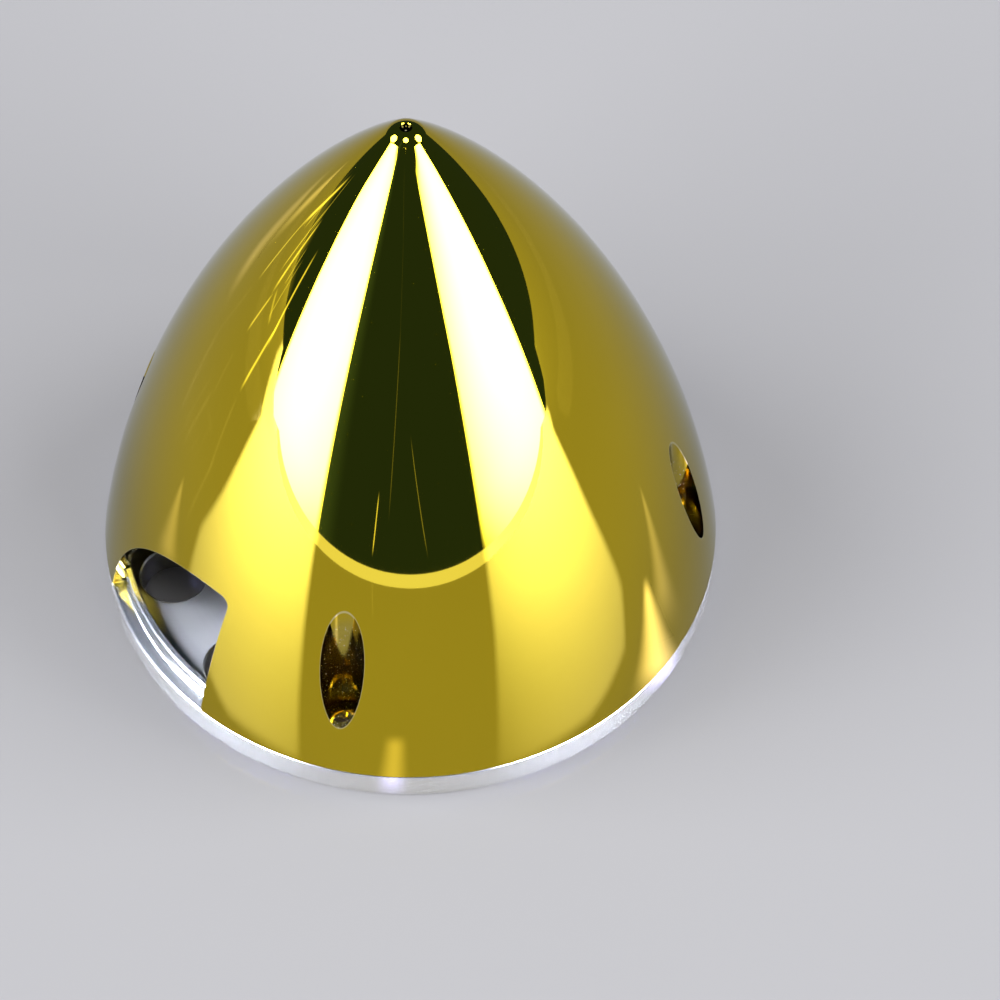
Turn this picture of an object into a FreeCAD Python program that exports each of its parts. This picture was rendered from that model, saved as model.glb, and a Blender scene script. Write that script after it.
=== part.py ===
"""Propeller spinner for a two-blade model aircraft propeller.

A moulded cone sits on a turned aluminium backplate and is held by four screws, each at the
bottom of a well sunk in the cone's side. The blades leave through two openings, one at -X
and one at +X, which are copies of each other turned half a turn about the shaft's axis.

Millimetres. The origin is the centre of the backplate's rear face, and +Z points to the nose.
"""
import FreeCAD, Part
import math
import os

from FreeCAD import Vector

# Overall form
outer_diameter = 82.5          # foot of the cone and rim of the backplate
flank_height = 74.8            # from the cone's foot to the level where it has narrowed to the next value
flank_end_radius = 2.5         # half width of the cone at that level
flank_radius = 146.5           # radius of the curve of the cone's side

# Nose: a small dome that runs smoothly out of the side, with a dent where the moulding's gate was
nose_radius = 3.3
dimple_diameter = 1.5
dimple_depth = 0.4

# Wall of the cone
shell_wall = 2.0
inner_nose_radius = 4.0

# Register: a ring on the backplate that centres the foot of the cone
register_wall = 1.85           # wall of the cone's foot outside the ring
register_clearance = 0.1       # between ring and foot, on the radius
register_height = 2.6
register_thickness = 1.0
register_headroom = 0.25       # above the ring, inside the cone
register_root = 0.45           # fillet at the foot of the ring
edge_break = 0.2               # small chamfer on turned edges

# Backplate
plate_thickness = 4.5
rim_chamfer = 0.3
hub_diameter = 36.0            # raised boss that carries the propeller
hub_rise = 3.6                 # height of the boss above the plate
bore_diameter = 11.0
bore_length = 3.0
recess_diameter = 30.0         # rear recess for the engine's drive washer
lightening_diameter = 8.8
lightening_inset = 8.25        # of the holes' centres from the rim
lightening_offset = 15.0       # degrees from the blades' axis

# Screws and their wells
screw_count = 4
screw_inset = 4.45             # of the screws' axes from the rim
well_diameter = 5.6
well_wall = 1.2
well_floor = 3.4               # thickness of the plastic under a screw's head
boss_clearance = 0.15          # around a boss where it passes the register ring
thread_diameter = 2.6
thread_clearance = 0.05        # on the radius, in the tapped hole
shank_clearance = 0.15         # on the radius, in the plastic
screw_length = 6.0             # under the head
screw_tip_chamfer = 0.3
head_diameter = 4.5
head_height = 1.7
head_edge = 0.6                # straight side of the head
drive_width = 0.5              # of one wing of the cross recess
drive_span = 2.5
drive_core = 0.7               # span at the bottom of the recess
drive_depth = 1.1

# Blade openings, seen along the blades' axis
opening_side = 12.0            # straight upright side, measured from the axis
opening_height = 20.5          # above the cone's foot
opening_sweep = 21.5           # radius of the curved side
opening_sweep_offset = 10.0    # of the curve's centre from the axis, towards the straight side
opening_corner = 1.3

# Worked out from the values above
outer_radius = outer_diameter / 2
screw_circle_radius = outer_radius - screw_inset
lightening_circle_radius = outer_radius - lightening_inset
seat_z = plate_thickness
flank_top_z = seat_z + flank_height
foot_inner_radius = outer_radius - register_wall
ring_outer_radius = foot_inner_radius - register_clearance
ring_inner_radius = ring_outer_radius - register_thickness
ring_top_z = seat_z + register_height
socket_top_z = ring_top_z + register_headroom
hub_radius = hub_diameter / 2
hub_top_z = plate_thickness + hub_rise
bore_radius = bore_diameter / 2
recess_radius = recess_diameter / 2
recess_top_z = hub_top_z - bore_length
well_radius = well_diameter / 2
boss_radius = well_radius + well_wall
head_seat_z = seat_z + well_floor
screw_radius = thread_diameter / 2
head_radius = head_diameter / 2
margin = 1.0                  # how far cutting tools run past what they cut
axis = Vector(0, 0, 1)


def at(radius, z):
    """A point of a turned profile."""
    return Vector(radius, 0, z)


def line(start, end):
    return Part.LineSegment(start, end).toShape()


def arc_about(centre, start, end):
    """The shorter arc from start to end around centre."""
    radius = (start - centre).Length
    towards_middle = (start - centre) + (end - centre)
    middle = centre + towards_middle.normalize() * radius
    return Part.Arc(start, middle, end).toShape()


def path(points):
    """Straight edges through points."""
    return [line(a, b) for a, b in zip(points, points[1:])]


def turned(edges):
    """The solid that a closed profile sweeps around the shaft's axis."""
    face = Part.Face(Part.Wire(Part.sortEdges(edges)[0]))
    return face.revolve(Vector(0, 0, 0), axis, 360)


def cylinder(radius, low, high, place=Vector(0, 0, 0)):
    return Part.makeCylinder(radius, high - low, place + Vector(0, 0, low))


def polar(radius, degrees):
    """A point on a circle around the shaft's axis."""
    turn = math.radians(degrees)
    return Vector(radius * math.cos(turn), radius * math.sin(turn), 0)


def towards(start, end, distance):
    """The point at a distance from start on the way to end."""
    return start + (end - start).normalize() * distance


def centre_of_arc(start, end, radius):
    """Centre of a circle through two profile points, on the side towards the axis and the foot."""
    chord = end - start
    middle = (start + end) * 0.5
    inward = Vector(-chord.z, 0, chord.x).normalize()
    return middle + inward * math.sqrt(radius ** 2 - (chord.Length / 2) ** 2)


def screw_places():
    """Screw axes lie midway between the blades' axis and its normal."""
    step = 360.0 / screw_count
    return [polar(screw_circle_radius, step * (index + 0.5)) for index in range(screw_count)]


def flank_centre():
    return centre_of_arc(at(outer_radius, seat_z), at(flank_end_radius, flank_top_z), flank_radius)


def dome_centre(side_radius, dome_radius):
    """Centre, on the axis, of a dome that runs smoothly out of an arc about the flank's centre."""
    side_centre = flank_centre()
    reach = side_radius - dome_radius
    return at(0, side_centre.z + math.sqrt(reach ** 2 - side_centre.x ** 2))


def cone_body():
    """The cone's full outer form, without its hollow."""
    side_centre = flank_centre()
    nose_centre = dome_centre(flank_radius, nose_radius)
    foot = at(outer_radius, seat_z)
    side_end = towards(side_centre, nose_centre, flank_radius)
    tip = at(0, nose_centre.z + nose_radius)
    return turned([
        line(at(0, seat_z), foot),
        arc_about(side_centre, foot, side_end),
        arc_about(nose_centre, side_end, tip),
        line(tip, at(0, seat_z)),
    ])


def cone_hollow():
    """The space inside the cone: a register socket at the foot, then a wall of even thickness."""
    side_centre = flank_centre()
    inner_radius = flank_radius - shell_wall
    nose_centre = dome_centre(inner_radius, inner_nose_radius)
    side_end = towards(side_centre, nose_centre, inner_radius)
    side_start_radius = side_centre.x + math.sqrt(inner_radius ** 2 - (socket_top_z - side_centre.z) ** 2)
    side_start = at(side_start_radius, socket_top_z)
    nose_top = at(0, nose_centre.z + inner_nose_radius)
    lead_in = register_root + register_clearance
    below = seat_z - margin
    socket = path([
        at(0, below),
        at(foot_inner_radius + lead_in + margin, below),
        at(foot_inner_radius, seat_z + lead_in),
        at(foot_inner_radius, socket_top_z),
        side_start,
    ])
    return turned(socket + [
        arc_about(side_centre, side_start, side_end),
        arc_about(nose_centre, side_end, nose_top),
        line(nose_top, at(0, below)),
    ])


def nose_dimple():
    """A shallow spherical dent where the moulding's gate was."""
    half = dimple_diameter / 2
    ball_radius = (half ** 2 + dimple_depth ** 2) / (2 * dimple_depth)
    rim_z = dome_centre(flank_radius, nose_radius).z + math.sqrt(nose_radius ** 2 - half ** 2)
    return Part.makeSphere(ball_radius, Vector(0, 0, rim_z - dimple_depth + ball_radius))


def blade_opening():
    """Cutter for the opening at -X: upright on the -Y side, swept over to the +Y side."""
    top_z = seat_z + opening_height
    below = seat_z - margin
    sweep_centre = Vector(0, -opening_sweep_offset, top_z - opening_sweep)
    sweep_top = Vector(0, -opening_sweep_offset, top_z)
    drop = below - sweep_centre.z
    sweep_foot = sweep_centre + Vector(0, math.sqrt(opening_sweep ** 2 - drop ** 2), drop)
    corner_centre = Vector(0, opening_corner - opening_side, top_z - opening_corner)
    corner_top = corner_centre + Vector(0, 0, opening_corner)
    corner_side = corner_centre - Vector(0, opening_corner, 0)
    side_foot = Vector(0, -opening_side, below)
    outline = Part.Wire([
        arc_about(sweep_centre, sweep_foot, sweep_top),
        line(sweep_top, corner_top),
        arc_about(corner_centre, corner_top, corner_side),
        line(corner_side, side_foot),
        line(side_foot, sweep_foot),
    ])
    return Part.Face(outline).extrude(Vector(-outer_radius - margin, 0, 0))


def cone():
    body = cone_body()
    shell = body.cut(cone_hollow())
    bosses = [cylinder(boss_radius, seat_z, flank_top_z, place) for place in screw_places()]
    shell = shell.fuse([body.common(boss) for boss in bosses]).removeSplitter()
    for place in screw_places():
        shell = shell.cut(cylinder(well_radius, head_seat_z, flank_top_z, place))
        shell = shell.cut(cylinder(screw_radius + shank_clearance, seat_z - margin, head_seat_z + margin, place))
    opening = blade_opening()
    for turn in (0, 180):
        shell = shell.cut(opening.rotated(Vector(0, 0, 0), axis, turn))
    return shell.cut(nose_dimple())


def plate_profile():
    """Half section of the turned backplate, from the bore outwards and back along the rear face."""
    root_centre = at(ring_outer_radius + register_root, seat_z + register_root)
    root_top = at(ring_outer_radius, seat_z + register_root)
    root_foot = at(ring_outer_radius + register_root, seat_z)
    front = path([
        at(bore_radius, recess_top_z + edge_break),
        at(bore_radius, hub_top_z - edge_break),
        at(bore_radius + edge_break, hub_top_z),
        at(hub_radius - edge_break, hub_top_z),
        at(hub_radius, hub_top_z - edge_break),
        at(hub_radius, seat_z),
        at(ring_inner_radius, seat_z),
        at(ring_inner_radius, ring_top_z - edge_break),
        at(ring_inner_radius + edge_break, ring_top_z),
        at(ring_outer_radius - edge_break, ring_top_z),
        at(ring_outer_radius, ring_top_z - edge_break),
        root_top,
    ])
    rear = path([
        root_foot,
        at(outer_radius - edge_break, seat_z),
        at(outer_radius, seat_z - edge_break),
        at(outer_radius, rim_chamfer),
        at(outer_radius - rim_chamfer, 0),
        at(recess_radius + edge_break, 0),
        at(recess_radius, edge_break),
        at(recess_radius, recess_top_z),
        at(bore_radius + edge_break, recess_top_z),
        at(bore_radius, recess_top_z + edge_break),
    ])
    return front + [arc_about(root_centre, root_top, root_foot)] + rear


def lightening_holes():
    """Two holes beside each screw, with each pair of neighbours centred on a blade axis or its normal."""
    angles = [side + sign * lightening_offset for side in (0, 90, 180, 270) for sign in (-1, 1)]
    radius = lightening_diameter / 2
    holes = []
    for angle in angles:
        place = polar(lightening_circle_radius, angle)
        holes.append(cylinder(radius, -margin, seat_z + margin, place))
        holes.append(Part.makeCone(radius, radius + 2 * edge_break, 2 * edge_break,
                                   place + Vector(0, 0, seat_z - edge_break)))
    return holes


def backplate():
    plate = turned(plate_profile())
    for place in screw_places():
        plate = plate.cut(cylinder(boss_radius + boss_clearance, seat_z, ring_top_z + margin, place))
        plate = plate.cut(cylinder(screw_radius + thread_clearance, -margin, seat_z + margin, place))
    for hole in lightening_holes():
        plate = plate.cut(hole)
    return plate


def cross_recess():
    """Tapered cross for the driver, pointing down from z = 0."""
    taper = Part.makeCone(drive_core / 2, drive_span / 2, drive_depth, Vector(0, 0, -drive_depth))
    wing = Part.makeBox(drive_span, drive_width, drive_depth, Vector(-drive_span / 2, -drive_width / 2, -drive_depth))
    cross = wing.fuse(wing.rotated(Vector(0, 0, 0), axis, 90))
    return cross.common(taper)


def cone_screw(place, turn):
    """Pan-head screw seated on the floor of its well."""
    shoulder = head_height - head_edge
    shoulder_centre = at(head_radius - shoulder, head_edge)
    tip_z = -screw_length
    outline = path([
        at(head_radius - shoulder, head_height),
        at(0, head_height),
        at(0, tip_z),
        at(screw_radius - screw_tip_chamfer, tip_z),
        at(screw_radius, tip_z + screw_tip_chamfer),
        at(screw_radius, 0),
        at(head_radius, 0),
        at(head_radius, head_edge),
    ])
    rounded = arc_about(shoulder_centre, at(head_radius, head_edge), at(head_radius - shoulder, head_height))
    screw = turned(outline + [rounded])
    recess = cross_recess().rotated(Vector(0, 0, 0), axis, turn)
    screw = screw.cut(recess.translated(Vector(0, 0, head_height)))
    return screw.translated(place + Vector(0, 0, head_seat_z))


def main():
    os.makedirs("parts", exist_ok=True)
    cone().exportStep("parts/cone.step")
    backplate().exportStep("parts/backplate.step")
    screw_turns = (20, 75, 50, 5)     # how each cross ended up when it was tightened
    for index, place in enumerate(screw_places()):
        turn = screw_turns[index % len(screw_turns)]
        cone_screw(place, turn).exportStep("parts/cone_screw_%d.step" % (index + 1))


main()
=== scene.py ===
import math

import bpy
from mathutils import Matrix, Vector

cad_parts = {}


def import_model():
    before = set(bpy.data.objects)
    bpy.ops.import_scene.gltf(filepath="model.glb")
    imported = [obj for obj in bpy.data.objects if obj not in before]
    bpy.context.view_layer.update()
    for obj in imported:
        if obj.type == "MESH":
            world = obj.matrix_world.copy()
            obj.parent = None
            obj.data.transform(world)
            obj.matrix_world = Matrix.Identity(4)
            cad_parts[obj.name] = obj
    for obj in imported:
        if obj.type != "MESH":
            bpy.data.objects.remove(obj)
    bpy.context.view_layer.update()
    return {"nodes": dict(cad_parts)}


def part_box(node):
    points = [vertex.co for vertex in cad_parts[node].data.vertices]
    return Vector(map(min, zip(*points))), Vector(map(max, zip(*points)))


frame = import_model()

MM = 0.001

# Camera, measured from the photograph
CAMERA_PLACE = Vector((-123.85, -205.0, 333.04)) * MM
CAMERA_TURN = -34.0            # degrees about Z
CAMERA_PITCH = 53.6            # degrees below the horizon
CAMERA_ROLL = 1.51
LENS = 108.0                   # on a sensor 36 mm wide
CAMERA_SIDE = math.atan2(CAMERA_PLACE.y, CAMERA_PLACE.x)

# Studio. Directions are degrees from the camera's side of the object, positive to the camera's
# right, and degrees above the horizon.
STUDIO_RADIUS = 3.0
GLARE = 50.0                   # brightness of a softbox in a mirror
LAMP_GLARE = 28.0              # and of the smaller lamps
GLARE_COLOUR = (1.0, 1.08, 1.4)
LAMP_RADIANCE = 3.4            # what lights dull surfaces
SPILL = 1.0                    # what polished pieces throw onto dull ones

# Softboxes. A side edge is pairs of height and side, and a top edge is pairs of the share of the
# width, from the inner edge, and height.
SOFTBOX_FOOT = -20.0
SOFTBOX_MIDDLE = (57.0, 18.0)  # side and height where it is brightest
SOFTBOX_REACH = 20.0
SOFTBOX_DIMMING = 0.26         # share that it has lost at that reach from there
SOFTBOX_FRINGE = (-0.6, 2.2)   # its edge fades in over these distances inwards
SOFTBOX_FOOT_FADE = (-18.0, 2.0)
SOFTBOX_STEPS = 28
LEFT_TOP = ((0.0, 38.5), (0.53, 38.0), (0.63, 36.5), (0.79, 33.0), (1.0, 28.0))
LEFT_SIDE = -36.3
LEFT_INNER = ((-20.0, LEFT_SIDE), (40.0, LEFT_SIDE))
LEFT_OUTER = ((-20.0, -71.5), (0.0, -73.2), (10.0, -77.0), (14.5, -79.2), (18.0, -81.7),
              (21.0, -84.3), (28.0, -85.0))
RIGHT_TOP = ((0.0, 38.5), (0.67, 38.2), (0.8, 37.0), (1.0, 34.0))
RIGHT_INNER = ((-20.0, 26.7), (17.0, 26.8), (30.0, 25.9), (40.0, 25.2))
RIGHT_OUTER = ((-20.0, 66.0), (0.0, 67.9), (8.0, 70.2), (14.0, 72.2), (20.0, 75.0), (26.0, 77.7),
               (34.0, 75.0))
PANEL_WAIST = 15.0             # its lamp is as wide as the softbox is at this height
PANEL_HEIGHT = 20.0            # and has its middle here
PANEL_SPREAD = 36.0

# Smaller lamps, each a disc that spans so many degrees from its middle to its edge
SIDE_LAMP = (93.0, 43.0)
SIDE_LAMP_SPREAD = 16.0
SIDE_CARD_SPREAD = 13.0
TOP_LAMP = (-3.0, 73.0)
TOP_LAMP_SPREAD = 13.0
TOP_CARD_SPREAD = 9.5
REAR_CARD = (180.0, 34.0)
REAR_CARD_SPREAD = 8.0
CARD_CORNERS = 48

# Streaks
HANGING_REACH = 0.36           # from the shaft's axis
EYE_HEIGHT = 0.055             # of the middle of the mirroring side
PATCH_COLOUR = (1.0, 0.92, 1.8)

# Room and floor
ROOM_COLOUR = (0.030, 0.057, 0.13)
ROOM_RADIUS = 4.0
LEAK_WIDTH = 8.0               # light that leaks in beside the left softbox
LEAK = 2.4
SKY_COLOUR = (0.60, 0.60, 0.63)
SKY_FILL = 0.28                # share of the sky that lights dull surfaces
FLOOR_COLOUR = (0.60, 0.60, 0.625)
FLOOR_CLOUDS = 0.015
FLOOR_GLOSS = 0.014            # seen from above, and what low angles add
FLOOR_GLOSS_RISE = 0.14
FLOOR_GLOSS_COLOUR = (1.0, 1.0, 2.3)
FLOOR_FRONT = 0.228            # from the shaft's axis to the sheet's front edge
TABLE_FRONT = 0.285            # and to the front edge of the table under it
TABLE_COLOUR = (1.0, 1.05, 2.2)
TABLE_GLOW = 1.6
TABLE_GLARE = 3.3              # more where its edge mirrors a softbox
EDGE_BEND = 0.15               # both edges bend away from the cone to the sides, slowly at first
EDGE_SLOPE = 0.42
FLOOR_REACH = 1.6
SWEEP_START = 0.7
SWEEP_HEIGHT = 0.135
SWEEP_FRONT = 0.36             # the sweep ends this far in front of the axis
SWEEP_FADE = 0.2
FLOOR_STEPS = (0.1, 0.2, 0.3, 0.4, 0.55, SWEEP_START, 0.8, 0.95, 1.1, 1.25, 1.4, FLOOR_REACH)
FLAT_REACH = FLOOR_STEPS[0]
FRONT_STEPS = 5

# Cone, as in the CAD
CONE_RADIUS = 41.25 * MM
CONE_FOOT = 4.5 * MM
FLANK_END = (2.5 * MM, 79.3 * MM)
FLANK_RADIUS = 146.5 * MM
NOSE_RADIUS = 3.3 * MM
WELL_RADIUS = 2.8 * MM
WELL_PLACE = (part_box("cone_screw_1")[0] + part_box("cone_screw_1")[1]) / 2
DIMPLE_RADIUS = 0.75 * MM
OPENING_SIDE = 12.0 * MM
OPENING_TOP = 25.0 * MM
OPENING_SWEEP = 21.5 * MM
OPENING_SWEEP_OFFSET = 10.0 * MM
OPENING_CORNER = 1.3 * MM
CUT_EDGE = (0.06 * MM, 0.02 * MM)       # a cut edge fades in between these distances
MESH_SLACK = (0.12 * MM, 0.06 * MM)     # so near the skin, the mesh is part of it
MESH_AGREES = (0.990, 0.998)            # if it also faces the same way, by the cosine

# Plate and screws, as in the CAD
RIM_START = (38.0 * MM, 38.4 * MM)      # the bright outer zone begins between these radii; the plate inside it is darkened with painted shade from the cone above
EDGE_START = (40.9 * MM, 40.6 * MM)     # and the cylindrical edge between these
THREAD_PITCH = 0.45 * MM
THREAD_TOP = 7.8 * MM
THREAD_REACH = (1.5 * MM, 1.4 * MM)     # from a screw's axis
THREAD_DEPTH = 0.2 * MM


def flank_centre():
    """Centre of the arc of the cone's side, as a radius and a height."""
    foot = Vector((CONE_RADIUS, CONE_FOOT))
    end = Vector(FLANK_END)
    chord = end - foot
    inward = Vector((-chord.y, chord.x)).normalized()
    return (foot + end) / 2 + inward * math.sqrt(FLANK_RADIUS ** 2 - (chord.length / 2) ** 2)


FLANK_CENTRE = flank_centre()
NOSE_Z = FLANK_CENTRE.y + math.sqrt((FLANK_RADIUS - NOSE_RADIUS) ** 2 - FLANK_CENTRE.x ** 2)
NOSE_START = NOSE_Z + NOSE_RADIUS * (NOSE_Z - FLANK_CENTRE.y) / (FLANK_RADIUS - NOSE_RADIUS)


# Node helpers

class Nodes:
    """Short calls for building a node tree."""

    def __init__(self, tree):
        tree.nodes.clear()
        self.tree = tree

    def add(self, kind, inputs=None, **settings):
        node = self.tree.nodes.new(kind)
        for name, value in settings.items():
            setattr(node, name, value)
        for name, value in (inputs or {}).items():
            self.feed(node.inputs[name], value)
        return node

    def feed(self, socket, value):
        if isinstance(value, bpy.types.NodeSocket):
            self.tree.links.new(value, socket)
        else:
            socket.default_value = value

    def math(self, operation, a, b=0.0, c=0.0):
        return self.add("ShaderNodeMath", {0: a, 1: b, 2: c}, operation=operation).outputs[0]

    def vector(self, operation, a, b=(0, 0, 0), c=(0, 0, 0)):
        return self.add("ShaderNodeVectorMath", {0: a, 1: b, 2: c}, operation=operation).outputs[0]

    def measure(self, operation, a, b=(0, 0, 0)):
        """A vector operation that gives a number."""
        return self.add("ShaderNodeVectorMath", {0: a, 1: b}, operation=operation).outputs[1]

    def join(self, x=0.0, y=0.0, z=0.0):
        return self.add("ShaderNodeCombineXYZ", {0: x, 1: y, 2: z}).outputs[0]

    def split(self, vector):
        return self.add("ShaderNodeSeparateXYZ", {0: vector}).outputs

    def ramp(self, value, low, high, out_low=0.0, out_high=1.0):
        """Smooth step of value between low and high."""
        node = self.add("ShaderNodeMapRange", {"Value": value, "From Min": low, "From Max": high,
                                               "To Min": out_low, "To Max": out_high},
                        interpolation_type="SMOOTHSTEP")
        return node.outputs[0]

    def mix(self, factor, a, b):
        node = self.add("ShaderNodeMix", data_type="RGBA")
        self.feed(node.inputs[0], factor)
        self.feed(node.inputs[6], a)
        self.feed(node.inputs[7], b)
        return node.outputs[2]

    def mix_vector(self, factor, a, b):
        node = self.add("ShaderNodeMix", data_type="VECTOR")
        self.feed(node.inputs[0], factor)
        self.feed(node.inputs[4], a)
        self.feed(node.inputs[5], b)
        return node.outputs[1]

    def noise(self, vector, scale, detail=2.0, roughness=0.5):
        node = self.add("ShaderNodeTexNoise", {"Vector": vector, "Scale": scale, "Detail": detail,
                                               "Roughness": roughness})
        return node.outputs[0]

    def bump(self, height, strength, distance, normal=None):
        node = self.add("ShaderNodeBump", {"Height": height, "Strength": strength, "Distance": distance})
        if normal is not None:
            self.feed(node.inputs["Normal"], normal)
        return node.outputs[0]

    def place(self):
        return self.add("ShaderNodeTexCoord").outputs["Object"]

    def aim(self):
        """The three numbers that grid_object keeps at each point."""
        return self.split(self.add("ShaderNodeAttribute", attribute_name="aim").outputs["Vector"])

    def path(self, name):
        return self.add("ShaderNodeLightPath").outputs[name]

    def output(self, shader):
        node = self.add("ShaderNodeOutputMaterial")
        self.tree.links.new(shader.outputs[0], node.inputs[0])


def rgb(r, g, b):
    return (r, g, b, 1.0)


def new_material(name):
    material = bpy.data.materials.new(name)
    material.use_nodes = True
    return material, Nodes(material.node_tree)


def principled(nodes, **inputs):
    shader = nodes.add("ShaderNodeBsdfPrincipled")
    for name, value in inputs.items():
        nodes.feed(shader.inputs[name.replace("_", " ")], value)
    nodes.output(shader)


# Mesh helpers

def mesh_object(name, points, faces, material):
    mesh = bpy.data.meshes.new(name)
    mesh.from_pydata([tuple(p) for p in points], [], faces)
    mesh.materials.append(material)
    mesh.update()
    thing = bpy.data.objects.new(name, mesh)
    bpy.context.scene.collection.objects.link(thing)
    return thing


def grid_object(name, rows, material, aims=None):
    """A sheet through rows of points. Aims are vectors that the material reads at each point."""
    width = len(rows[0])
    faces = []
    for i in range(len(rows) - 1):
        for j in range(width - 1):
            first = i * width + j
            faces.append((first, first + 1, first + width + 1, first + width))
    thing = mesh_object(name, [p for row in rows for p in row], faces, material)
    for face in thing.data.polygons:
        face.use_smooth = True
    if aims:
        attribute = thing.data.attributes.new("aim", "FLOAT_VECTOR", "POINT")
        attribute.data.foreach_set("vector", [v for row in aims for aim in row for v in aim])
    return thing


def direction(side, elevation):
    """Unit vector at degrees from the camera's side, and above the horizon."""
    turn = CAMERA_SIDE + math.radians(side)
    rise = math.radians(elevation)
    return Vector((math.cos(turn) * math.cos(rise), math.sin(turn) * math.cos(rise), math.sin(rise)))


def from_camera_side(forward, right, up=0.0):
    """A place given by distances towards the camera's side, to its right and up."""
    ahead = Vector((math.cos(CAMERA_SIDE), math.sin(CAMERA_SIDE), 0))
    across = Vector((-ahead.y, ahead.x, 0))
    return ahead * forward + across * right + Vector((0, 0, up))


def between(pairs, at):
    """Value at a place along pairs of place and value."""
    for (low, first), (high, second) in zip(pairs, pairs[1:]):
        if at <= high:
            return first + (second - first) * max(at - low, 0) / (high - low)
    return pairs[-1][1]


# Lights that only mirrors see

def only_in_mirrors(thing):
    thing.visible_camera = False
    thing.visible_diffuse = False
    thing.visible_shadow = False


def glow(name, strength_of, colour, spill=0.0, clear=False):
    """A material that gives off light, and that lamps never sample. A clear one hides nothing."""
    material, nodes = new_material(name)
    strength = spilling(nodes, strength_of(nodes), spill)
    shader = nodes.add("ShaderNodeEmission", {"Color": rgb(*colour), "Strength": strength})
    if clear:
        behind = nodes.add("ShaderNodeBsdfTransparent")
        shader = nodes.add("ShaderNodeAddShader", {0: shader.outputs[0], 1: behind.outputs[0]})
    nodes.output(shader)
    material.cycles.emission_sampling = "NONE"
    return material


def spilling(nodes, strength, spill):
    """Strength in mirrors, and spill in light that has come by way of a dull surface."""
    return nodes.ramp(nodes.path("Diffuse Depth"), 0.0, 1.0, strength, spill)


# Floor

def floor_material():
    """Pale sheet with a faint gloss that grows at low angles."""
    material, nodes = new_material("floor_sheet")
    darker, paler = [rgb(*[c * share for c in FLOOR_COLOUR])
                     for share in (1 - FLOOR_CLOUDS, 1 + FLOOR_CLOUDS)]
    colour = nodes.mix(nodes.noise(nodes.place(), 9.0), darker, paler)
    facing = nodes.add("ShaderNodeLayerWeight").outputs["Facing"]
    gloss = nodes.math("MULTIPLY_ADD", nodes.math("POWER", facing, 5.0), FLOOR_GLOSS_RISE, FLOOR_GLOSS)
    dull = nodes.add("ShaderNodeBsdfDiffuse", {"Color": colour})
    shiny = nodes.add("ShaderNodeBsdfGlossy", {"Color": rgb(*FLOOR_GLOSS_COLOUR), "Roughness": 0.03})
    nodes.output(nodes.add("ShaderNodeMixShader", {0: gloss, 1: dull.outputs[0], 2: shiny.outputs[0]}))
    return material


def front_edge(start, across):
    """How far in front of the axis a curved edge lies, at a distance to the right."""
    return start + math.hypot(EDGE_BEND, EDGE_SLOPE * across) - EDGE_BEND


def sweep_height(ahead, across):
    """The floor's height, from the distances in front of the axis and to its right."""
    out = max(math.hypot(min(ahead, 0), across) - SWEEP_START, 0) / (FLOOR_REACH - SWEEP_START)
    fade = 1 - min(max(ahead - SWEEP_FRONT, 0) / SWEEP_FADE, 1)
    return SWEEP_HEIGHT * min(out, 1) ** 2 * fade


def floor():
    """A pale glossy sheet that rises into a low sweep at its far sides."""
    material = floor_material()
    steps = [-s for s in reversed(FLOOR_STEPS)] + [-0.05, 0, 0.05] + list(FLOOR_STEPS)
    rows = []
    for across in steps:
        depth = front_edge(FLOOR_FRONT, across) - FLAT_REACH
        aheads = [s for s in steps if s <= FLAT_REACH]
        aheads += [FLAT_REACH + depth * i / FRONT_STEPS for i in range(1, FRONT_STEPS + 1)]
        rows.append([from_camera_side(ahead, across, sweep_height(ahead, across)) for ahead in aheads])
    grid_object("floor", rows, material)

    # The rest of the floor, in front of the sheet's edge, for views from behind
    rows = [[from_camera_side(front_edge(FLOOR_FRONT, across), across), from_camera_side(FLOOR_REACH, across)]
            for across in steps]
    rest = grid_object("floor_front", rows, material)
    rest.visible_glossy = False
    rest.visible_diffuse = False


def table_strength(nodes):
    """Brighter where the table's edge mirrors a softbox."""
    side = nodes.aim()[0]
    lit = nodes.math("ADD", nodes.ramp(side, -34.0, -38.0), nodes.ramp(side, 25.0, 29.0))
    return nodes.math("MULTIPLY_ADD", lit, TABLE_GLARE, TABLE_GLOW)


def table_edge():
    """The table beyond the sheet's front edge, which shows in the cone as a band."""
    steps = 64
    rows = []
    aims = []
    for step in range(-steps, steps + 1):
        across = FLOOR_REACH * step / steps
        edges = [front_edge(start, across) for start in (FLOOR_FRONT, TABLE_FRONT)]
        rows.append([from_camera_side(ahead, across) for ahead in edges])
        aims.append([(math.degrees(math.atan2(across, ahead)), 0, 0) for ahead in edges])
    material = glow("table_edge", table_strength, TABLE_COLOUR)
    only_in_mirrors(grid_object("table_edge", rows, material, aims))


# Lamps

def area_lamp(name, side, elevation, shape, width, height):
    """A lamp that lights dull surfaces and shows in no mirror."""
    light = bpy.data.lights.new(name, "AREA")
    light.shape = shape
    light.size = width
    light.size_y = height
    area = width * height * (math.pi / 4 if shape == "ELLIPSE" else 1)
    light.energy = LAMP_RADIANCE * math.pi * area
    centre = direction(side, elevation) * STUDIO_RADIUS
    lamp = bpy.data.objects.new(name, light)
    lamp.matrix_world = Matrix.Translation(centre) @ centre.to_track_quat("Z", "Y").to_matrix().to_4x4()
    lamp.visible_glossy = False
    lamp.visible_camera = False
    bpy.context.scene.collection.objects.link(lamp)


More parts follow.
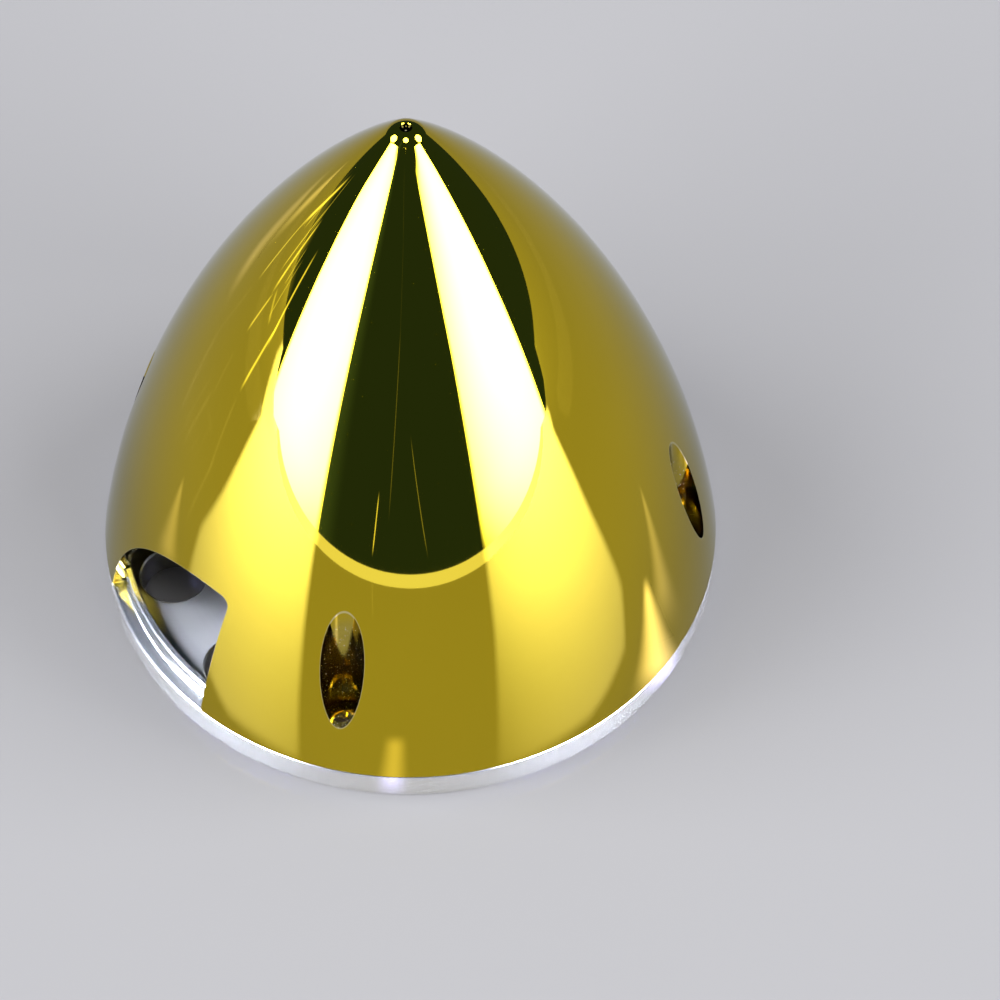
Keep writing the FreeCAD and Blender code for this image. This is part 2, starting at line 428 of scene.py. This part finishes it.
def softbox_strength(nodes):
    """Brightest near the middle, with a soft fringe at the edges and dimmer at the foot."""
    side, elevation, edge = nodes.aim()
    off_side = nodes.math("SUBTRACT", nodes.math("ABSOLUTE", side), SOFTBOX_MIDDLE[0])
    off_up = nodes.math("SUBTRACT", elevation, SOFTBOX_MIDDLE[1])
    off = nodes.math("DIVIDE", nodes.measure("LENGTH", nodes.join(off_side, off_up)), SOFTBOX_REACH)
    strength = nodes.math("MULTIPLY_ADD", nodes.math("POWER", off, 2.0), -SOFTBOX_DIMMING * GLARE, GLARE)
    strength = nodes.math("MULTIPLY", strength, nodes.ramp(edge, *SOFTBOX_FRINGE))
    return nodes.math("MULTIPLY", strength, nodes.ramp(elevation, *SOFTBOX_FOOT_FADE))


def softbox(name, inner, outer, top_edge):
    """A soft light panel: a bright card that only mirrors see, and a lamp that lights the rest."""
    rows = []
    aims = []
    for i in range(SOFTBOX_STEPS + 1):
        top = between(top_edge, i / SOFTBOX_STEPS)
        row = []
        aim = []
        for j in range(SOFTBOX_STEPS + 1):
            elevation = SOFTBOX_FOOT + (top - SOFTBOX_FOOT) * j / SOFTBOX_STEPS
            first = between(inner, elevation)
            last = between(outer, elevation)
            side = first + (last - first) * i / SOFTBOX_STEPS
            level = math.cos(math.radians(elevation))
            edge = min(abs(side - first) * level, abs(last - side) * level, top - elevation)
            row.append(direction(side, elevation) * STUDIO_RADIUS)
            aim.append((side, elevation, edge))
        rows.append(row)
        aims.append(aim)
    material = glow(name, softbox_strength, GLARE_COLOUR, SPILL)
    only_in_mirrors(grid_object(name, rows, material, aims))
    first = between(inner, PANEL_WAIST)
    last = between(outer, PANEL_WAIST)
    area_lamp(name + "_lamp", (first + last) / 2, PANEL_HEIGHT, "RECTANGLE",
              math.radians(abs(first - last)) * STUDIO_RADIUS, math.radians(PANEL_SPREAD) * STUDIO_RADIUS)


def disc_radius(spread):
    """Radius of a disc on the studio's sphere that spans so many degrees from its middle to its edge."""
    return STUDIO_RADIUS * math.tan(math.radians(spread))


def lamp_strength(nodes):
    """Only a piece that faces the lamp shows it, not the floor's gloss mirrored in the cone."""
    return nodes.ramp(nodes.path("Glossy Depth"), 1.0, 2.0, LAMP_GLARE, 0.0)


def round_card(name, side, elevation, spread):
    centre = direction(side, elevation) * STUDIO_RADIUS
    turn = centre.to_track_quat("Z", "Y").to_matrix()
    corners = range(CARD_CORNERS)
    points = [centre + turn @ Vector((math.cos(a), math.sin(a), 0)) * disc_radius(spread)
              for a in [math.tau * corner / CARD_CORNERS for corner in corners]]
    material = glow(name, lamp_strength, GLARE_COLOUR)
    only_in_mirrors(mesh_object(name, points, [tuple(corners)], material))


def round_lamp(name, side, elevation, spread):
    area_lamp(name, side, elevation, "ELLIPSE", 2 * disc_radius(spread), 2 * disc_radius(spread))


def lamps():
    softbox("left_softbox", LEFT_INNER, LEFT_OUTER, LEFT_TOP)
    softbox("right_softbox", RIGHT_INNER, RIGHT_OUTER, RIGHT_TOP)
    for name, sign in (("left", -1), ("right", 1)):
        round_card(name + "_side_card", sign * SIDE_LAMP[0], SIDE_LAMP[1], SIDE_CARD_SPREAD)
        round_lamp(name + "_side_lamp", sign * SIDE_LAMP[0], SIDE_LAMP[1], SIDE_LAMP_SPREAD)
    round_card("top_card", *TOP_LAMP, TOP_CARD_SPREAD)
    round_lamp("top_lamp", *TOP_LAMP, TOP_LAMP_SPREAD)
    round_card("rear_card", *REAR_CARD, REAR_CARD_SPREAD)


# Streaks

def streak(name, start, end, start_half, end_half, strength, colour):
    """A faint bar of light with soft edges, seen only in mirrors and from its front.

    The halves are half its width.
    """
    def strength_of(nodes):
        from_side, from_end, _ = nodes.aim()
        soft = nodes.math("MULTIPLY", nodes.ramp(from_side, 0.0, 1.0), nodes.ramp(from_end, 0.0, 0.5))
        back = nodes.add("ShaderNodeNewGeometry").outputs["Backfacing"]
        front = nodes.math("SUBTRACT", 1.0, back)
        return nodes.math("MULTIPLY", nodes.math("MULTIPLY", soft, front), strength)

    steps = 16
    shares = [share / 4 for share in range(-4, 5)]
    rows = []
    aims = []
    for i in range(steps + 1):
        middle = start.lerp(end, i / steps)
        half = start_half.lerp(end_half, i / steps)
        along = 1 - abs(2 * i / steps - 1)
        rows.append([middle + half * share for share in shares])
        aims.append([(1 - abs(share), along, 0) for share in shares])
    only_in_mirrors(grid_object(name, rows, glow(name, strength_of, colour, clear=True), aims))


def hanging_streak(name, first, last, spread, strength):
    """A bar beside the cone, given by the directions of its ends from the middle of the cone."""
    start, end = [direction(side, 0) * HANGING_REACH
                  + Vector((0, 0, EYE_HEIGHT + HANGING_REACH * math.tan(math.radians(elevation))))
                  for side, elevation in (first, last)]
    across = direction((first[0] + last[0]) / 2, 0).cross(end - start).normalized()
    half = across * HANGING_REACH * math.radians(spread) / 2
    streak(name, start, end, half, half, strength, (1.0, 1.0, 1.0))


def floor_streak(name, start, end, start_half, end_half, strength, lift=0.2):
    """A patch of light on the floor, in mm. Its ends lie in front of the axis and to its right."""
    ends = [from_camera_side(forward * MM, right * MM, lift * MM) for forward, right in (start, end)]
    across = (ends[1] - ends[0]).cross(Vector((0, 0, 1))).normalized() * MM
    streak(name, ends[0], ends[1], across * start_half, across * end_half, strength, PATCH_COLOUR)


def streaks():
    """Small bright things that the cone mirrors.

    A bar is its two ends, spread and strength. A patch is its two ends, half its width at each,
    its strength and, where it crosses another, its lift.
    """
    bars = {
        "streak": [
            ((-88.3, 11.0), (-84.5, -1.5), 1.6, 2.4),
            ((-85.0, 2.5), (-87.0, -8.7), 1.6, 2.0),
            ((-110.5, 9.5), (-114.8, -1.0), 2.6, 2.4),
            ((-114.9, 1.0), (-113.2, -8.7), 1.3, 1.2),
            ((-107.8, 12.0), (-103.0, 4.0), 1.0, 0.9),
            ((-102.3, 8.0), (-99.7, -2.0), 2.0, 2.2),
            ((-98.7, -1.0), (-99.9, -7.5), 1.3, 1.4),
            ((-98.5, -0.2), (-90.0, -1.0), 1.0, 0.8),
            ((-106.0, 8.5), (-104.0, -1.5), 1.2, 1.6),
            ((-94.5, 6.5), (-92.5, -2.0), 0.8, 0.9),
            ((-112.5, 6.0), (-110.5, 1.0), 1.0, 1.4),
            ((-97.5, 6.5), (-95.5, 1.5), 0.7, 1.3),
        ],
        "haze": [
            ((-118.0, 5.6), (-96.0, 5.0), 5.0, 0.22),
            ((-104.0, 4.4), (-86.0, 3.0), 4.0, 0.16),
        ],
        "line": [
            ((-6.8, 41.8), (-5.0, 32.0), 0.7, 0.10),
            ((-5.0, 34.0), (-5.9, 20.5), 0.4, 0.10),
            ((-5.6, 23.0), (-8.9, -4.0), 0.4, 0.35),
            ((0.1, 8.5), (6.0, -8.6), 0.4, 0.6),
            ((-13.1, 0.5), (-14.4, -8.6), 0.5, 2.4),
        ],
    }
    patches = [
        ((-86.0, -142.0), (-250.0, -248.0), 20.0, 45.0, 0.42),
        ((3.0, -110.0), (17.0, -62.0), 1.0, 9.0, 0.45),
        ((23.5, 66.0), (26.5, 31.0), 1.5, 6.5, 2.4),
        ((6.5, 102.0), (22.0, 42.0), 1.0, 6.0, 0.5, 0.5),
        ((60.0, -4.4), (40.0, -3.1), 3.2, 2.8, 0.75),
        ((-138.0, -205.0), (-800.0, -950.0), 12.0, 140.0, 0.85, 0.5),
    ]
    for name, rows in bars.items():
        for number, row in enumerate(rows, 1):
            hanging_streak("%s_%d" % (name, number), *row)
    hanging_streak("spot", (-17.0, 43.2), (0.0, 43.2), 0.5, 14.0)
    for number, row in enumerate(patches, 1):
        floor_streak("patch_%d" % number, *row)


# Surroundings

def room_strength(nodes):
    """A little light leaks in beside the left softbox."""
    off = nodes.math("ABSOLUTE", nodes.math("SUBTRACT", nodes.aim()[0], LEFT_SIDE))
    return nodes.ramp(off, LEAK_WIDTH, 0.0, 1.0, LEAK)


def dark_room():
    """The unlit room behind the camera, which the cone mirrors between the softboxes."""
    sides = range(-180, 181, 4)
    rows = [[direction(side, elevation) * ROOM_RADIUS for side in sides] for elevation in range(-40, 91, 5)]
    aims = [[(side, 0, 0) for side in sides] for row in rows]
    only_in_mirrors(grid_object("dark_room", rows, glow("dark_room", room_strength, ROOM_COLOUR), aims))


def world():
    """Full brightness where it is seen, less where it lights dull surfaces."""
    sky = bpy.data.worlds.new("studio")
    bpy.context.scene.world = sky
    sky.use_nodes = True
    nodes = Nodes(sky.node_tree)
    seen = nodes.math("MAXIMUM", nodes.path("Is Camera Ray"), nodes.path("Is Glossy Ray"))
    seen = nodes.math("MAXIMUM", seen, nodes.path("Is Transmission Ray"))
    strength = nodes.math("MULTIPLY_ADD", seen, 1.0 - SKY_FILL, SKY_FILL)
    shader = nodes.add("ShaderNodeBackground", {"Color": rgb(*SKY_COLOUR), "Strength": strength})
    output = nodes.add("ShaderNodeOutputWorld")
    nodes.tree.links.new(shader.outputs[0], output.inputs[0])


def camera():
    lens = bpy.data.cameras.new("camera")
    lens.sensor_width = 36
    lens.lens = LENS
    lens.clip_start = 0.01
    view = bpy.data.objects.new("camera", lens)
    view.matrix_world = (Matrix.Translation(CAMERA_PLACE)
                         @ Matrix.Rotation(math.radians(CAMERA_TURN), 4, "Z")
                         @ Matrix.Rotation(math.radians(90 - CAMERA_PITCH), 4, "X")
                         @ Matrix.Rotation(math.radians(CAMERA_ROLL), 4, "Z"))
    bpy.context.scene.collection.objects.link(view)
    bpy.context.scene.camera = view


# Materials of the part

def cone_skin(nodes, place, z):
    """How far a point lies outside the cone's skin, and the way the skin faces there."""
    outward = nodes.vector("NORMALIZE", nodes.vector("MULTIPLY", place, (1, 1, 0)))
    flank = nodes.vector("MULTIPLY_ADD", outward, (FLANK_CENTRE.x,) * 3, (0, 0, FLANK_CENTRE.y))
    on_nose = nodes.math("GREATER_THAN", z, NOSE_START)
    centre = nodes.mix_vector(on_nose, flank, (0, 0, NOSE_Z))
    reach = nodes.math("MULTIPLY_ADD", on_nose, NOSE_RADIUS - FLANK_RADIUS, FLANK_RADIUS)
    away = nodes.vector("SUBTRACT", place, centre)
    depth = nodes.math("SUBTRACT", nodes.measure("LENGTH", away), reach)
    return depth, nodes.vector("NORMALIZE", away)


def smooth_normal(nodes, depth, facing):
    """The skin's true normal where the mesh lies on the skin, so that it mirrors without facets."""
    given = nodes.add("ShaderNodeNewGeometry").outputs["Normal"]
    true = nodes.add("ShaderNodeVectorTransform", {0: facing}, vector_type="NORMAL",
                     convert_from="OBJECT", convert_to="WORLD").outputs[0]
    agree = nodes.ramp(nodes.measure("DOT_PRODUCT", given, true), *MESH_AGREES)
    close = nodes.ramp(nodes.math("ABSOLUTE", depth), *MESH_SLACK)
    return nodes.vector("NORMALIZE", nodes.mix_vector(nodes.math("MULTIPLY", agree, close), given, true))


def from_well(nodes, x, y):
    """How far a point lies from the axis of the nearest well, in x and in y."""
    return [nodes.math("SUBTRACT", nodes.math("ABSOLUTE", x), WELL_PLACE.x),
            nodes.math("SUBTRACT", nodes.math("ABSOLUTE", y), WELL_PLACE.y)]


def well_distance(nodes, x, y):
    return nodes.measure("LENGTH", nodes.join(*from_well(nodes, x, y)))


def opening_distance(nodes, x, y, z):
    """Distance outside the outline of the nearer blade opening, seen along the blades."""
    along = nodes.math("MULTIPLY", y, nodes.math("MULTIPLY", nodes.math("SIGN", x), -1.0))
    from_sweep = nodes.join(nodes.math("ADD", along, OPENING_SWEEP_OFFSET),
                            nodes.math("SUBTRACT", z, OPENING_TOP - OPENING_SWEEP))
    sweep = nodes.math("SUBTRACT", nodes.measure("LENGTH", from_sweep), OPENING_SWEEP - OPENING_CORNER)
    side = nodes.math("SUBTRACT", OPENING_CORNER - OPENING_SIDE, along)
    corner = nodes.join(nodes.math("MAXIMUM", sweep, 0.0), nodes.math("MAXIMUM", side, 0.0))
    return nodes.math("SUBTRACT", nodes.measure("LENGTH", corner), OPENING_CORNER)


def gold_plating():
    """Gold mirror on the skin, speckled in the wells and inside, rougher and darkened with painted shade in
    the dimple, and pale at cut edges as a painted highlight.
    """
    material, nodes = new_material("gold_plating")
    place = nodes.place()
    x, y, z = nodes.split(place)
    depth, facing = cone_skin(nodes, place, z)
    inside = nodes.ramp(depth, -0.25 * MM, -1.2 * MM)
    from_wall = nodes.math("SUBTRACT", well_distance(nodes, x, y), WELL_RADIUS)
    near_well = nodes.ramp(from_wall, *CUT_EDGE)
    near_opening = nodes.ramp(opening_distance(nodes, x, y, z), *CUT_EDGE)
    cut_edge_highlight = nodes.math("MULTIPLY", nodes.math("MAXIMUM", near_well, near_opening),
                          nodes.ramp(depth, -0.14 * MM, -0.06 * MM))
    from_axis = nodes.measure("LENGTH", nodes.join(x, y))
    # the dimple gets a rougher finish and painted shade
    dimple_dull_and_shaded = nodes.math("MULTIPLY", nodes.math("GREATER_THAN", z, NOSE_START),
                           nodes.ramp(from_axis, DIMPLE_RADIUS, 0.9 * DIMPLE_RADIUS))

    gold = nodes.mix(nodes.noise(place, 60.0), rgb(0.520, 0.382, 0.015), rgb(0.540, 0.400, 0.017))
    thin = nodes.mix(nodes.noise(place, 900.0, 4.0), rgb(0.38, 0.29, 0.03), rgb(0.52, 0.41, 0.06))
    specks = nodes.ramp(nodes.noise(place, 5200.0, 1.0), 0.70, 0.76)
    specks = nodes.math("MULTIPLY", specks, inside)
    colour = nodes.mix(inside, gold, thin)
    # painted highlight: cut edges get a pale colour, for the bright line that they catch
    colour = nodes.mix(cut_edge_highlight, colour, rgb(0.72, 0.62, 0.26))
    colour = nodes.mix(specks, colour, rgb(0.80, 0.78, 0.70))
    # painted shade: the dimple is coloured nearly black, so that it mirrors little light
    colour = nodes.mix(dimple_dull_and_shaded, colour, rgb(0.014, 0.011, 0.002))

    roughness = nodes.math("MULTIPLY_ADD", inside, 0.09, 0.022)
    roughness = nodes.math("MULTIPLY_ADD", dimple_dull_and_shaded, 0.06, roughness)
    roughness = nodes.math("MULTIPLY_ADD", specks, 0.35, roughness)
    normal = smooth_normal(nodes, depth, facing)
    waves = nodes.bump(nodes.noise(place, 60.0), 0.02, 0.02 * MM, normal)
    grain = nodes.bump(nodes.noise(place, 3000.0), nodes.math("MULTIPLY", inside, 0.4), 0.02 * MM, waves)
    principled(nodes, Base_Color=colour, Metallic=1.0, Roughness=roughness, Normal=grain,
               Specular_Tint=rgb(0.77, 0.82, 0.86))
    return material


def thread_height(nodes, x, y, z):
    """A ridge that climbs once round the nearest screw's axis per pitch."""
    off_x, off_y = from_well(nodes, x, y)
    turn = nodes.math("DIVIDE", nodes.math("ARCTAN2", off_y, off_x), math.tau)
    climb = nodes.math("ADD", nodes.math("DIVIDE", z, THREAD_PITCH), turn)
    return nodes.math("PINGPONG", climb, 0.5)


def turned_aluminium():
    """Concentric tool marks, with a highlight that fans out from the axis, and painted shade that darkens the
    plate inside the rim.
    """
    material, nodes = new_material("turned_aluminium")
    place = nodes.place()
    x, y, z = nodes.split(place)
    radius = nodes.measure("LENGTH", nodes.join(x, y))
    on_rim = nodes.ramp(radius, *RIM_START)
    off_edge = nodes.ramp(radius, *EDGE_START)
    ring_place = nodes.join(nodes.math("MULTIPLY", radius, off_edge), z)
    rings = nodes.noise(ring_place, 5200.0, 3.0, 0.6)
    broad = nodes.noise(ring_place, 420.0)
    stains = nodes.noise(place, 150.0, 4.0)
    tone = nodes.math("MULTIPLY_ADD", broad, 0.6, nodes.math("MULTIPLY", stains, 0.4))
    # painted shade: the plate inside the rim is coloured much darker than the rim, as if shaded by the cone
    # over it
    colour = nodes.mix(tone, nodes.mix(on_rim, rgb(0.27, 0.26, 0.235), rgb(0.78, 0.77, 0.71)),
                       nodes.mix(on_rim, rgb(0.43, 0.42, 0.375), rgb(0.85, 0.84, 0.775)))
    rubbed = nodes.math("MULTIPLY_ADD", stains, 0.10, 0.34)
    bright = nodes.math("MULTIPLY_ADD", broad, 0.03, 0.215)
    roughness = nodes.math("ADD", nodes.math("MULTIPLY", bright, on_rim),
                           nodes.math("MULTIPLY", rubbed, nodes.math("SUBTRACT", 1.0, on_rim)))
    marks = nodes.bump(rings, nodes.math("MULTIPLY_ADD", on_rim, -0.22, 0.25), 0.01 * MM)
    in_thread = nodes.ramp(well_distance(nodes, x, y), *THREAD_REACH)
    threads = nodes.bump(thread_height(nodes, x, y, z), in_thread, THREAD_DEPTH, marks)
    tangent = nodes.add("ShaderNodeTangent", direction_type="RADIAL", axis="Z")
    principled(nodes, Base_Color=colour, Metallic=1.0, Roughness=roughness, Anisotropic=0.8,
               Anisotropic_Rotation=0.25, Normal=threads, Tangent=tangent.outputs[0])
    return material


def screw_steel():
    """Bright plated steel with fine stains, and a thread below the head."""
    material, nodes = new_material("screw_steel")
    place = nodes.place()
    x, y, z = nodes.split(place)
    stains = nodes.noise(place, 700.0, 3.0)
    colour = nodes.mix(stains, rgb(0.60, 0.55, 0.52), rgb(0.80, 0.76, 0.74))
    roughness = nodes.math("MULTIPLY_ADD", stains, 0.15, 0.14)
    marks = nodes.bump(nodes.noise(place, 3500.0, 3.0), 0.2, 0.01 * MM)
    on_shank = nodes.ramp(z, THREAD_TOP, THREAD_TOP - 0.1 * MM)
    threads = nodes.bump(thread_height(nodes, x, y, z), on_shank, THREAD_DEPTH, marks)
    principled(nodes, Base_Color=colour, Metallic=1.0, Roughness=roughness, Normal=threads)
    return material


def dress(node, material):
    for slot in frame["nodes"][node].material_slots:
        slot.material = material


# Making

camera()
world()
floor()
table_edge()
lamps()
streaks()
dark_room()

dress("cone", gold_plating())
dress("backplate", turned_aluminium())
steel = screw_steel()
for number in range(1, 5):
    dress("cone_screw_%d" % number, steel)

bpy.context.scene.view_settings.view_transform = "Standard"
